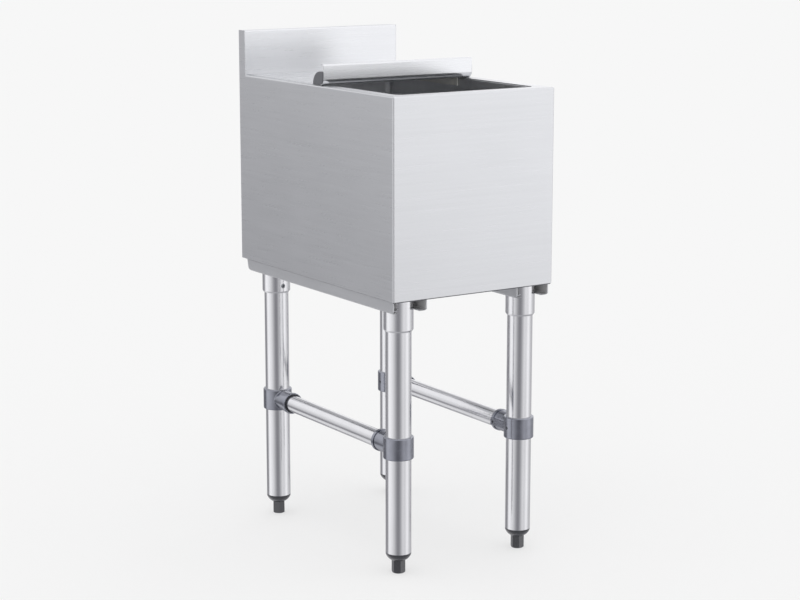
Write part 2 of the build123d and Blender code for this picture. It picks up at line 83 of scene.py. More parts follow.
# How far each foot has been screwed round, in degrees, in the order of CORNERS
FOOT_TURNS = (15, 10, 0, 0)
FLAT_COUNT = 6
# Radius of the bar that a foot is milled from, over the radius of the foot's corners
BAR_MARGIN = 1.04
# Steps of the round shapes that need fewer than turned_steps
FOOT_STEPS = 48
TREAD_STEPS = 8
BOWL_STEPS = 10

# Edges bent by more than these angles stay sharp. The threads' angle also serves the tube inserts.
COPY_CREASE = math.radians(40)
TURNED_CREASE = math.radians(30)
THREAD_CREASE = math.radians(35)
SOCKET_CREASE = math.radians(25)
# Triangles that meet at less than this angle make one flat face
FLAT_ANGLE = math.radians(0.3)
# Points nearer than these, in metres, are one: in a copied node, on a turned shape's axis, after a cut
COPY_MERGE = 2e-6
AXIS_MERGE = 1e-7
CUT_MERGE = 1e-6
ROUNDING_SEGMENTS = 2
ROLLED_SEGMENTS = 4
# A face of a channel whose normal leans along it by more than this is one of its cut ends
END_NORMAL = 0.5

# Streaks of brushed sheet are this much coarser than its scratches
STREAK_SCALE = 3.5
# A quarter turn from the tangent that runs level round the piece
GRAIN_TURN = 0.25
# How far the roughness rises and falls over moulded and over turned surfaces
MOULDED_RANGE = 0.05
TURNED_RANGE = 0.06
# Sockets of a Mix node that mixes colours: its two colours and its result
MIX_LOW = 6
MIX_HIGH = 7
MIX_RESULT = 2

FLOOR_SEGMENTS = 64
VIEW_DEPTH = 200

# Brightness of the studio that metal reflects, by the angle round the object in degrees: 0 is the
# camera's own side, 90 the right of the picture and -90 its left. The dim side round the camera and
# the flag at the left rear give polished tubes their dark bands.
GROUND_SCREENS = (
    (-180, 0.5), (-158, 0.5), (-146, 0.75), (-130, 0.92), (-120, 0.85), (-112, 0.6), (-60, 0.5),
    (0, 0.42), (60, 0.45), (120, 0.5), (180, 0.5),
)
LEG_SCREENS = (
    (-180, 0.5), (-150, 0.42), (-132, 0.32), (-120, 0.3), (-112, 0.35), (-106, 0.58), (-98, 1.05),
    (-84, 1.17), (-70, 1.07), (-56, 0.97), (-46, 0.85), (-37, 0.72), (-28, 0.55), (-20, 0.41),
    (-10, 0.28), (2, 0.26), (12, 0.35), (20, 0.5), (28, 0.65), (37, 0.85), (46, 0.88), (56, 0.8),
    (66, 0.91), (78, 1.13), (90, 1.1), (100, 0.92), (112, 0.7), (124, 0.62), (180, 0.5),
)
SHELL_SCREENS = (
    (-180, 0.55), (-150, 0.45), (-132, 0.42), (-120, 0.5), (-112, 0.78), (-106, 0.96), (-98, 1.15),
    (-84, 1.25), (-56, 1.0), (-28, 0.55), (0, 0.3), (28, 0.7), (46, 1.3), (56, 1.38), (66, 1.36),
    (78, 1.55), (90, 1.25), (112, 0.8), (180, 0.55),
)
RIM_SCREENS = (
    (-180, 1.3), (-165, 1.05), (-140, 0.9), (-105, 0.9), (-60, 0.9), (0, 0.9), (55, 1.15),
    (75, 1.35), (110, 1.3), (165, 1.5), (180, 1.4),
)
CEILING_SCREENS = (
    (-180, 0.75), (-170, 0.5), (-160, 0.42), (-150, 0.6), (-140, 1.0), (-130, 1.08), (-105, 1.0),
    (-60, 0.9), (0, 0.9), (55, 1.15), (75, 1.25), (110, 1.15), (165, 1.2), (180, 0.8),
)
# Each layer above the ground: the upward parts of direction between which it fades in, and its screens
RISING_SCREENS = (
    (-0.4, -0.34, LEG_SCREENS),
    (-0.2, -0.06, SHELL_SCREENS),
    (-0.03, 0.12, RIM_SCREENS),
    (0.16, 0.28, CEILING_SCREENS),
)
# Added to the blue of every screen, so that the steel looks a little cool
BLUE_VEIL = 0.02


def hex_colour(code):
    """Turn an sRGB hex value such as #D6D8DA into linear red, green and blue."""
    channels = [int(code[i : i + 2], 16) / 255 for i in (1, 3, 5)]
    return tuple(c / 12.92 if c <= 0.04045 else ((c + 0.055) / 1.055) ** 2.4 for c in channels)


def colour_property(name, description, code):
    return FloatVectorProperty(
        name=name, description=description, subtype="COLOR", size=3, min=0, max=1, default=hex_colour(code)
    )


def length_property(name, description, millimetres):
    return FloatProperty(
        name=name, description=description, default=millimetres * MM, min=0, unit="LENGTH", subtype="DISTANCE"
    )


def angle_property(name, description, degrees):
    return FloatProperty(name=name, description=description, default=math.radians(degrees), subtype="ANGLE")


class IceBinMetal(bpy.types.PropertyGroup):
    """Colours, edges and walls of the metal pieces."""

    sheet_colour: colour_property("Sheet", "Colour of the brushed stainless sheet", "#D7D8DA")
    folded_colour: colour_property("Folded sheet", "Colour of the backsplash, back and pan", "#E3E4E6")
    liner_colour: colour_property("Tub", "Colour of the satin stainless tub", "#E4E5E7")
    lid_colour: colour_property("Lid", "Colour of the lid's brushed sheet", "#E2E3E5")
    channel_colour: colour_property("Channels", "Colour of the channels' mill finish", "#BFC0C3")
    # The inner faces' colour belongs to a lighter, nearly matt copy of the channel's steel: painted bounce
    # light
    channel_inside: colour_property("Channels inside", "Colour of the channels' inner faces", "#BBBBBC")
    tube_colour: colour_property("Tube", "Colour of the polished stainless tube", "#E2E2E4")
    cast_colour: colour_property("Casting", "Colour of the dark cast tees", "#9B9DA6")
    screw_colour: colour_property("Screws", "Colour of the plated screws and studs", "#8F9196")
    brass_colour: colour_property("Drain", "Colour of the drain's brass", "#D9BE86")
    sheet_edge: length_property("Sheet edge", "Rounding of the cut sheet edges", 0.25)
    cast_edge: length_property("Casting edge", "Rounding of the castings' edges", 0.5)
    tube_edge: length_property("Tube edge", "Chamfer at the ends of the tubes", 0.4)
    lower_edge: length_property("Lower edge", "Rounding of the skin's lower edge", 0.9)
    sheet_wall: length_property("Skin", "Thickness of the outer skin", 1.2)
    tube_wall: length_property("Tube wall", "Wall of the leg and rail tubes", 1.2)
    channel_wall: length_property("Channel wall", "Thickness of the channels", 2.0)
    # Sizes of the dark strips that paint the shadow lines under the skin's edges
    bead_drop: length_property("Sealant drop", "Height of the sealant below the skin's edge", 1.4)
    bead_inset: length_property("Sealant inset", "Distance of the sealant from a channel's ends", 12.0)
    front_bead: length_property("Front sealant", "Thickness of the sealant behind the skin's front", 2.0)
    front_drop: length_property("Front drop", "Height of that sealant below the skin's edge", 2.1)
    turned_steps: IntProperty(name="Turned steps", description="Sides of a round piece", default=96, min=24)


class IceBinPlastic(bpy.types.PropertyGroup):
    """Colours and sizes of the moulded and soft pieces."""

    foot_colour: colour_property("Feet", "Colour of the moulded feet and tube inserts", "#2B2C32")
    cap_colour: colour_property("Lid caps", "Colour of the lid's end caps", "#606166")
    guide_colour: colour_property("Guides", "Colour of the lid's nylon guides", "#E4E3DE")
    gasket_colour: colour_property("Gasket", "Colour of the drain gasket", "#242425")
    foam_colour: colour_property("Foam", "Colour of the rigid foam", "#E2CF9B")
    # Dark grey of the strips that paint the shadow lines under the skin
    sealant_colour: colour_property("Shadow", "Colour of the sealant under the skin", "#5A5B60")
    cap_edge: length_property("Cap edge", "Rounding of the lid caps' moulded edges", 0.8)
    collar_height: length_property("Collar", "Height of the tube insert's collar", 2.0)
    bowl_height: length_property("Bowl", "Height of the tube insert's rounded underside", 10.0)
    bowl_radius: length_property("Bowl foot", "Radius at the bottom of the tube insert", 12.2)
    bowl_bulge: length_property("Bowl bulge", "Bulge of the underside from a straight cone", 1.3)
    bowl_bore: length_property("Stud bore", "Radius of the tube insert's hole for the stud", 6.05)
    insert_gap: length_property("Insert gap", "Gap between the insert's plug and the tube", 0.15)
    foot_flats: length_property("Foot flats", "Width of the feet over their six flats", 19.4)
    foot_chamfer: length_property("Foot chamfer", "Chamfer at the top of a foot's round bar", 1.2)
    foot_edge: length_property("Foot edge", "Rounding of the feet's edges", 0.3)
    tread_radius: length_property("Tread", "Radius of the feet's flat underside", 8.2)
    tread_height: length_property("Tread edge", "Height of the rounding round the feet's underside", 3.0)
    tread_bulge: length_property("Tread bulge", "Bulge of the feet's lower edge from a straight cone", 0.7)
    # A thin black ring at each tee's mouth paints the shadow in the gap round the rail
    bush_width: length_property("Shade", "Width of the ring between a rail and its tee", 2.2)
    bush_height: length_property("Bush height", "Height of that ring in front of the tee", 0.4)
    bush_gap: length_property("Bush gap", "Gap between that ring and the rail", 0.05)


class IceBinThread(bpy.types.PropertyGroup):
    """Sizes of the threads and of the drain."""

    stud_pitch: length_property("Stud pitch", "Pitch of the feet's M12 threads", 1.75)
    stud_depth: length_property("Stud thread", "Depth of the feet's threads", 1.0)
    drain_crest: length_property("Drain thread", "Outer radius of the drain's pipe thread", 16.6)
    drain_root: length_property("Drain core", "Radius of the drain's shank between its threads", 15.6)
    drain_pitch: length_property("Drain pitch", "Pitch of the drain's pipe thread, 11.5 to the inch", 2.2)
    drain_bore: length_property("Drain bore", "Radius of the drain's passage", 12.7)
    drain_tail_radius: length_property("Hose tail", "Radius of the plain tail for the hose", 15.5)
    drain_tail_length: length_property("Hose tail length", "Length of the plain tail for the hose", 24.0)
    drain_flange: length_property("Drain flange", "Height of the drain's flange over the tub", 3.0)
    drain_rim: length_property("Flange rim", "Height of the flange at its outer edge", 1.5)
    drain_slope: length_property("Flange slope", "Width of the flat round the strainer's recess", 2.0)
    strainer_gap: length_property("Strainer gap", "Gap between the strainer and its recess", 0.3)
    steps: IntProperty(name="Steps", description="Steps in each turn of a thread", default=40, min=12)


class IceBinStage(bpy.types.PropertyGroup):
    """Camera and studio."""

    camera_place: FloatVectorProperty(
        name="Camera",
        description="Place of the camera",
        subtype="TRANSLATION",
        default=(-1.7893, -2.7746, 1.0542),
    )
    camera_turn: angle_property("Turn", "Turn of the camera from straight ahead", 33.06)
    camera_tilt: angle_property("Tilt", "Tilt of the camera below level", 11.24)
    lens: FloatProperty(name="Lens", description="Focal length in millimetres", default=90.2, min=1)
    backdrop_colour: colour_property("Backdrop", "Colour of the floor and backdrop", "#F7F7F7")
    floor_radius: FloatProperty(name="Floor", description="Radius of the floor", default=40.0, unit="LENGTH")
    floor_glow: FloatProperty(
        name="Floor glow",
        description="Share of the floor's brightness that no shadow dims",
        default=0.6,
        min=0,
        max=1,
    )


def set_sockets(tree, node, sockets):
    """Set each named input of a node, or link it to an output."""
    for name, value in sockets.items():
        if isinstance(value, bpy.types.NodeSocket):
            tree.links.new(value, node.inputs[name])
        else:
            node.inputs[name].default_value = value


def add_node(tree, kind, sockets=None, **settings):
    """Add a node with its settings and its inputs."""
    node = tree.nodes.new(kind)
    for name, value in settings.items():
        setattr(node, name, value)
    set_sockets(tree, node, sockets or {})
    return node


def new_material(name):
    """Empty node material with a Principled shader on its output."""
    material = bpy.data.materials.new(name)
    material.use_nodes = True
    tree = material.node_tree
    tree.nodes.clear()
    shader = add_node(tree, "ShaderNodeBsdfPrincipled")
    add_node(tree, "ShaderNodeOutputMaterial", {"Surface": shader.outputs["BSDF"]})
    return material, tree, shader


def grain_noise(tree, size_mm, detail, rough=0.6):
    """Noise whose patches measure size_mm along X, Y and Z of the piece."""
    place = add_node(tree, "ShaderNodeTexCoord")
    scale = [1 / (length * MM) for length in size_mm]
    mapping = add_node(tree, "ShaderNodeMapping", {"Vector": place.outputs["Object"], "Scale": scale})
    noise = {"Vector": mapping.outputs["Vector"], "Scale": 1.0, "Detail": detail, "Roughness": rough}
    return add_node(tree, "ShaderNodeTexNoise", noise).outputs["Fac"]


def spread(tree, factor, low=0, high=1, start=0.3, end=0.7):
    """Stretch a noise factor's middle range over low to high."""
    sockets = {"Value": factor, "From Min": start, "From Max": end, "To Min": low, "To Max": high}
    return add_node(tree, "ShaderNodeMapRange", sockets).outputs["Result"]


def tint(tree, factor, colour, amount):
    """The colour, darkened by up to amount as the factor falls."""
    light = (*colour, 1)
    dark = (*[c * (1 - amount) for c in colour], 1)
    sockets = {"Factor": factor, MIX_LOW: dark, MIX_HIGH: light}
    return add_node(tree, "ShaderNodeMix", sockets, data_type="RGBA").outputs[MIX_RESULT]


def bump(tree, height, depth_mm, strength, below=None):
    """Normal bumped by a height of depth_mm, on top of another bump."""
    sockets = {"Height": height, "Distance": depth_mm * MM, "Strength": strength}
    if below is not None:
        sockets["Normal"] = below
    return add_node(tree, "ShaderNodeBump", sockets).outputs["Normal"]


def brushed_steel(name, colour, grain_mm, rough, contrast=0.05, anisotropic=0.5, metallic=1.0):
    """Stainless sheet rubbed with a belt: long fine scratches along the grain that stretch each reflection
    across it. The real scratches are 0.1 mm wide, too fine for the picture, so they are drawn wider."""
    material, tree, shader = new_material(name)
    scratches = grain_noise(tree, grain_mm, detail=5.0, rough=0.7)
    streaks = grain_noise(tree, [STREAK_SCALE * length for length in grain_mm], detail=2.0)
    clouds = grain_noise(tree, size_mm=(160, 160, 120), detail=1.0)
    tone = add_node(tree, "ShaderNodeMath", {0: scratches, 1: streaks}, operation="ADD").outputs[0]
    tone = add_node(tree, "ShaderNodeMath", {0: tone, 1: clouds}, operation="ADD").outputs[0]
    # The three noises together stay mostly within 0.3 of their middle, 1.5
    factor = spread(tree, tone, start=1.2, end=1.8)
    tangent = add_node(tree, "ShaderNodeTangent", direction_type="RADIAL", axis="Z")
    waves = bump(tree, clouds, depth_mm=0.6, strength=0.1)
    finish = {
        "Metallic": metallic,
        "Anisotropic": anisotropic,
        "Anisotropic Rotation": GRAIN_TURN,
        "Tangent": tangent.outputs["Tangent"],
        "Base Color": tint(tree, factor, colour, contrast),
        "Roughness": spread(tree, scratches, *rough),
        "Normal": bump(tree, scratches, depth_mm=0.02, strength=0.25, below=waves),
    }
    set_sockets(tree, shader, finish)
    return material


def polished_tube(name, colour, grain_mm):
    """Stainless tube, belt polished: clear stretched reflections with faint marks along its length."""
    material, tree, shader = new_material(name)
    marks = grain_noise(tree, grain_mm, detail=3.0)
    clouds = grain_noise(tree, size_mm=(30, 30, 60), detail=1.0)
    finish = {
        "Metallic": 1.0,
        "Base Color": tint(tree, spread(tree, clouds), colour, amount=0.04),
        "Roughness": spread(tree, marks, low=0.13, high=0.2),
        "Normal": bump(tree, marks, depth_mm=0.01, strength=0.2),
    }
    set_sockets(tree, shader, finish)
    return material


def cast_zinc(name, colour):
    """Die-cast zinc, dark plated: a half-gloss grey with the soft pebbling of the mould's skin."""
    material, tree, shader = new_material(name)
    pebbles = grain_noise(tree, size_mm=(1.6, 1.6, 1.6), detail=2.0)
    clouds = grain_noise(tree, size_mm=(14, 14, 14), detail=2.0)
    finish = {
        "Metallic": 1.0,
        "Base Color": tint(tree, spread(tree, clouds), colour, amount=0.14),
        "Roughness": spread(tree, clouds, low=0.15, high=0.23),
        "Normal": bump(tree, pebbles, depth_mm=0.03, strength=0.25),
    }
    set_sockets(tree, shader, finish)
    return material


def moulded_plastic(name, colour, rough, texture_mm, depth_mm, skin=0.0):
    """Moulded or extruded nylon, ABS or rubber, and the dark pieces that paint shadow in seams and gaps: an
    even colour with a fine texture, and where skin is 1 the glossier skin over it that filled nylon gets in a
    hot mould."""
    material, tree, shader = new_material(name)
    texture = grain_noise(tree, (texture_mm,) * 3, detail=2.0)
    clouds = grain_noise(tree, size_mm=(18, 18, 18), detail=1.0)
    finish = {
        "Metallic": 0.0,
        "IOR": 1.53,
        "Coat Weight": skin,
        "Coat Roughness": 0.12,
        "Base Color": tint(tree, spread(tree, clouds), colour, amount=0.12),
        "Roughness": spread(tree, texture, rough - MOULDED_RANGE, rough + MOULDED_RANGE),
        "Normal": bump(tree, texture, depth_mm, strength=0.4),
    }
    set_sockets(tree, shader, finish)
    return material


def turned_metal(name, colour, rough):
    """Turned and plated steel or brass: fine rings left by the cutting tool under a satin plating."""
    material, tree, shader = new_material(name)
    rings = grain_noise(tree, size_mm=(0.8, 0.8, 0.5), detail=2.0)
    clouds = grain_noise(tree, size_mm=(6, 6, 6), detail=2.0)
    finish = {
        "Metallic": 1.0,
        "Base Color": tint(tree, spread(tree, clouds), colour, amount=0.15),
        "Roughness": spread(tree, rings, rough - TURNED_RANGE, rough + TURNED_RANGE),
        "Normal": bump(tree, rings, depth_mm=0.03, strength=0.3),
    }
    set_sockets(tree, shader, finish)
    return material


def rigid_foam(name, colour):
    """Polyurethane foam, poured: a matt skin of small closed cells."""
    material, tree, shader = new_material(name)
    place = add_node(tree, "ShaderNodeTexCoord")
    cell_mm = 1.2
    pattern = {"Vector": place.outputs["Object"], "Scale": 1 / (cell_mm * MM)}
    cells = add_node(tree, "ShaderNodeTexVoronoi", pattern).outputs["Distance"]
    finish = {
        "Roughness": 0.85,
        "Base Color": tint(tree, spread(tree, cells, start=0, end=0.8), colour, amount=0.2),
        "Normal": bump(tree, cells, depth_mm=0.3, strength=0.5),
    }
    set_sockets(tree, shader, finish)
    return material


def body_of_node(node):
    return frame["nodes"][node]["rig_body"]


def middle(low, high):
    return ((low.x + high.x) / 2, (low.y + high.y) / 2)


def half_width(low, high):
    return (high.x - low.x) / 2


def place_piece(bm, name, body, slot, material, crease, replaced=()):
    """Turn a finished bmesh into a piece that rides on a body, smooth below the crease angle and sharp
    above it."""
    for face in bm.faces:
        face.smooth = True
    for edge in bm.edges:
        edge.smooth = len(edge.link_faces) == 2 and edge.calc_face_angle() < crease
    mesh = bpy.data.meshes.new(name)
    bm.to_mesh(mesh)
    bm.free()
    mesh.materials.append(material)
    piece = bpy.data.objects.new(name, mesh)
    bpy.context.scene.collection.objects.link(piece)
    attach(piece, body)
    if replaced:
        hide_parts(*replaced)
    return piece


def place_for_node(bm, way, node, material, crease):
    """Piece that stands for a node, on its body, and named for how it was made."""
    return place_piece(bm, f"{way}_{node}", body_of_node(node), SLOT_OF[node], material, crease, [node])


def edge_rounding(piece, width, angle):
    """Round the edges that are sharper than the angle with a bevel that keeps the flats flat."""
    bevel = piece.modifiers.new("edge_rounding", "BEVEL")
    bevel.width = width
    bevel.segments = ROUNDING_SEGMENTS
    bevel.limit_method = "ANGLE"
    bevel.angle_limit = angle
    bevel.harden_normals = True
    bevel.use_clamp_overlap = True


def merged_copy(node):
    """Shape of a node with its loose triangles joined and its flat faces made whole."""
    bm = bmesh.new()
    bm.from_mesh(frame["nodes"][node].data)
    bmesh.ops.remove_doubles(bm, verts=bm.verts, dist=COPY_MERGE)
    bmesh.ops.dissolve_limit(bm, angle_limit=FLAT_ANGLE, verts=bm.verts, edges=bm.edges)
    return bm


def finished_copy(node, material, edge_width, crease=COPY_CREASE, bm=None):
    """Piece with the node's own shape, or a shape made from it, with its edges rounded."""
    piece = place_for_node(bm or merged_copy(node), "finished", node, material, crease)
    if edge_width > 0:
        edge_rounding(piece, edge_width, crease)
    # Large faces keep their own direction, so that small roundings beside them don't bend reflections
    weighted = piece.modifiers.new("true_flats", "WEIGHTED_NORMAL")
    weighted.keep_sharp = True
    return piece


def closed_ring(bm, profile, centre):
    """Points and edges of a closed profile of radius and height points, beside an upright axis."""
    ring = [bm.verts.new((centre[0] + radius, centre[1], height)) for radius, height in profile]
    edges = [bm.edges.new((a, b)) for a, b in zip(ring, ring[1:] + ring[:1])]
    return ring, edges


def turned(profile, centre, steps):
    """Closed round shape from a profile of radius and height points, spun about an upright axis."""
    bm = bmesh.new()
    ring, edges = closed_ring(bm, profile, centre)
    bmesh.ops.spin(
        bm,
        geom=ring + edges,
        cent=(centre[0], centre[1], 0),
        axis=(0, 0, 1),
        angle=math.tau,
        steps=steps,
        use_merge=True,
    )
    bmesh.ops.remove_doubles(bm, verts=bm.verts, dist=AXIS_MERGE)
    bmesh.ops.recalc_face_normals(bm, faces=bm.faces)
    return bm


def tube_profile(radius, wall, low, high, chamfer):
    """Section of a tube with its end edges broken."""
    inner = radius - wall
    return [
        (inner + chamfer, low),
        (radius - chamfer, low),
        (radius, low + chamfer),
        (radius, high - chamfer),
        (radius - chamfer, high),
        (inner + chamfer, high),
        (inner, high - chamfer),
        (inner, low + chamfer),
    ]


def thread_ridge(centre, root, crest, low, high, pitch, steps_per_turn):
    """Closed ridge of a screw thread: a small triangle spun up a helix, with a quarter of the thread's
    depth sunk into the core."""
    bm = bmesh.new()
    turns = (high - low - pitch) / pitch
    foot = root - (crest - root) / 4
    corners = [(foot, low), (crest, low + pitch / 2), (foot, low + pitch)]
    ring, edges = closed_ring(bm, corners, centre)
    steps = int(turns * steps_per_turn)
    start_cap = bm.faces.new(ring)
    spun = bmesh.ops.spin(
        bm,
        geom=ring + edges,
        cent=(centre[0], centre[1], 0),
        axis=(0, 0, 1),
        dvec=(0, 0, pitch / steps_per_turn),
        angle=math.tau * steps / steps_per_turn,
        steps=steps,
    )
    last = [item for item in spun["geom_last"] if isinstance(item, bmesh.types.BMVert)]
    bm.faces.new(last)
    start_cap.normal_update()
    bmesh.ops.recalc_face_normals(bm, faces=bm.faces)
    return bm


def curved(start, end, sagitta, steps):
    """Points of an arc from start to end, both left out, that bulges by the sagitta to the right."""
    chord = Vector(end) - Vector(start)
    across = Vector((chord.y, -chord.x)).normalized()
    radius = (chord.length / 2) ** 2 / (2 * sagitta) + sagitta / 2
    centre = (Vector(start) + Vector(end)) / 2 + across * (sagitta - radius)
    half_angle = math.asin(chord.length / 2 / radius)
    spoke = Vector(start) - centre
    turns = [2 * half_angle * step / steps for step in range(1, steps)]
    return [tuple(centre + Matrix.Rotation(turn, 2) @ spoke) for turn in turns]


def lay_down(bm, place, toward=1):
    """Lay an upright shape down at its place, with its top to the rear, or to the front if toward is -1."""
    lay = Matrix.Translation(Vector(place)) @ Matrix.Rotation(-toward * math.pi / 2, 4, "X")
    bmesh.ops.transform(bm, matrix=lay, verts=bm.verts)


def join(first, second):
    """Add the second bmesh's shape to the first."""
    mesh = bpy.data.meshes.new("joined")
    second.to_mesh(mesh)
    second.free()
    first.from_mesh(mesh)
    bpy.data.meshes.remove(mesh)
    return first


class ICEBIN_OT_sheet(bpy.types.Operator):
    """Brushed stainless shell: skin, backsplash, back, pan and channels"""

    bl_idname = "icebin.sheet"
    bl_label = "Sheet Metal Shell"

    def execute(self, context):
        metal = context.scene.icebin_metal
        plastic = context.scene.icebin_plastic
        level_grain = brushed_steel(
            "brushed stainless sheet",
            metal.sheet_colour,
            grain_mm=(90, 90, 1.4),
            rough=(0.26, 0.34),
            contrast=0.04,
        )
        cross_grain = brushed_steel(
            "brushed stainless sheet, folded",
            metal.folded_colour,
            grain_mm=(90, 2.2, 1.4),
            rough=(0.26, 0.34),
            contrast=0.04,
        )
        # An acid-cleaned mill finish is matt and scatters part of the light; the inner faces get a lighter,
        # nearly matt copy of it as painted bounce light inside each channel
        channel = brushed_steel(
            "mill finish stainless channel",
            metal.channel_colour,
            grain_mm=(60, 60, 4.0),
            rough=(0.36, 0.46),
            metallic=0.75,
        )
        # Lighter, nearly matt copy for the channels' inner faces: painted bounce light
        inside = brushed_steel(
            "painted_bounce stainless inside",
            metal.channel_inside,
            grain_mm=(60, 60, 4.0),
            rough=(0.5, 0.6),
            metallic=0.1,
        )
        # Dark strips under the skin's edges: painted shadow lines along the seams
        sealant = moulded_plastic(
            "grey silicone sealant", plastic.sealant_colour, rough=0.5, texture_mm=2.0, depth_mm=0.05
        )
        finished_copy("outer_skin", level_grain, metal.sheet_edge, bm=self.rolled_skin(metal))
        for node in ("backsplash_face", "back_panel", "bottom_pan"):
            finished_copy(node, cross_grain, metal.sheet_edge)
        for side in SIDES:
            self.channel(f"channel_{side}", channel, inside, metal)
            self.side_bead(side, metal, sealant)
        self.front_bead(metal, sealant)
        return {"FINISHED"}

    def channel(self, node, outside, inside, metal):
        """Channel whose inner faces get a lighter, nearly matt copy of its material: painted bounce light."""
        piece = finished_copy(node, outside, metal.sheet_edge)
        piece.data.materials.append(inside)
        low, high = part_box(node)
        depth = metal.channel_wall / 2
        for face in piece.data.polygons:
            across = low.x + depth < face.center.x < high.x - depth
            upward = low.z + depth < face.center.z < high.z - depth
            # Inner faces take the lighter copy: painted bounce light
            if across and upward and abs(face.normal.y) < END_NORMAL:
                face.material_index = 1

    def rolled_skin(self, metal):
        """Outer skin with its lower edge dressed round, as it is after the burr is taken off."""
        bm = merged_copy("outer_skin")
        low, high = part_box("outer_skin")
        near = metal.sheet_edge
        lower = []
        for edge in bm.edges:
            a, b = (vert.co for vert in edge.verts)
            at_bottom = max(a.z, b.z) < low.z + near
            at_side = min(abs(a.x), abs(b.x)) > high.x - near
            at_front = max(a.y, b.y) < low.y + near
            if at_bottom and (at_side or at_front):
                lower.append(edge)
        bmesh.ops.bevel(
            bm,
            geom=lower,
            offset=metal.lower_edge,
            offset_type="OFFSET",
            segments=ROLLED_SEGMENTS,
            profile=0.5,
            affect="EDGES",
            material=-1,
            clamp_overlap=True,
        )
        return bm

    def side_bead(self, side, metal, sealant):
        """Dark strip in the gap between a channel and the skin, sloping in under the skin's edge: painted
        shadow along the seam.
        """
        channel_low, channel_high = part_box(f"channel_{side}")
        skin_low, skin_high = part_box("outer_skin")
        if side == "left":
            face = channel_low.x
            gap_end = skin_low.x + metal.sheet_wall
        else:
            face = channel_high.x
            gap_end = skin_high.x - metal.sheet_wall
        start = channel_low.y + metal.bead_inset
        section = [
            (face, start, channel_high.z),
            (gap_end, start, channel_high.z),
            (gap_end, start, skin_low.z),
            (face, start, skin_low.z - metal.bead_drop),
        ]
        run = (0, channel_high.y - channel_low.y - 2 * metal.bead_inset, 0)
        self.bead(f"painted_shadow_strip_{side}", section, run, sealant)

    def front_bead(self, metal, sealant):
        """Dark strip along the seam between the pan and the skin's front, seen as a dark line under the skin:
        painted shadow.
        """
        pan_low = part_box("bottom_pan")[0]
        skin_low, skin_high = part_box("outer_skin")
        wall = skin_low.y + metal.sheet_wall
        start = skin_low.x + metal.sheet_wall
        section = [
            (start, wall, pan_low.z),
            (start, wall, skin_low.z),
            (start, wall + metal.front_bead, skin_low.z - metal.front_drop),
            (start, wall + metal.front_bead, pan_low.z),
        ]
        run = (skin_high.x - skin_low.x - 2 * metal.sheet_wall, 0, 0)
        self.bead("painted_shadow_strip_front", section, run, sealant)

    def bead(self, name, section, run, sealant):
        """Dark strip of painted shadow: a flat section drawn out along its run."""
        bm = bmesh.new()
        verts = [bm.verts.new(point) for point in section]
        grown = bmesh.ops.extrude_face_region(bm, geom=[bm.faces.new(verts)])
        moved = [item for item in grown["geom"] if isinstance(item, bmesh.types.BMVert)]
        bmesh.ops.translate(bm, vec=run, verts=moved)
        bmesh.ops.recalc_face_normals(bm, faces=bm.faces)
        place_piece(bm, name, "bin", SLOT_OF["drain_gasket"], sealant, TURNED_CREASE)


class ICEBIN_OT_tub(bpy.types.Operator):
    """Drawn stainless tub with its foam"""

    bl_idname = "icebin.tub"
    bl_label = "Tub and Insulation"

    def execute(self, context):
        metal = context.scene.icebin_metal
        plastic = context.scene.icebin_plastic
        satin = brushed_steel(
            "satin stainless tub",
            metal.liner_colour,
            grain_mm=(5, 5, 30),
            rough=(0.28, 0.38),
            anisotropic=0.0,
        )
        foam = rigid_foam("poured polyurethane foam", plastic.foam_colour)
        finished_copy("ice_liner", satin, metal.sheet_edge)
        finished_copy("insulation", foam, 0)
        return {"FINISHED"}


class ICEBIN_OT_lid(bpy.types.Operator):
    """Sliding lid with its moulded end caps, guides and screws"""

    bl_idname = "icebin.lid"
    bl_label = "Sliding Lid"

    def execute(self, context):
        metal = context.scene.icebin_metal
        plastic = context.scene.icebin_plastic
        sheet = brushed_steel(
            "brushed stainless lid",
            metal.lid_colour,
            grain_mm=(90, 2.0, 1.4),
            rough=(0.22, 0.3),
            anisotropic=0.3,
        )
        cap = moulded_plastic(
            "moulded ABS cap", plastic.cap_colour, rough=0.42, texture_mm=0.9, depth_mm=0.05
        )
        guide = moulded_plastic(
            "extruded nylon guide", plastic.guide_colour, rough=0.5, texture_mm=1.5, depth_mm=0.03
        )
        screw = turned_metal("plated steel screw", metal.screw_colour, rough=0.3)
        finished_copy("lid_panel", sheet, metal.sheet_edge)
        for side in SIDES:
            finished_copy(f"lid_cap_{side}", cap, plastic.cap_edge)
            finished_copy(f"lid_guide_{side}", guide, metal.sheet_edge)
        finished_copy("lid_screws", screw, 0)
        return {"FINISHED"}


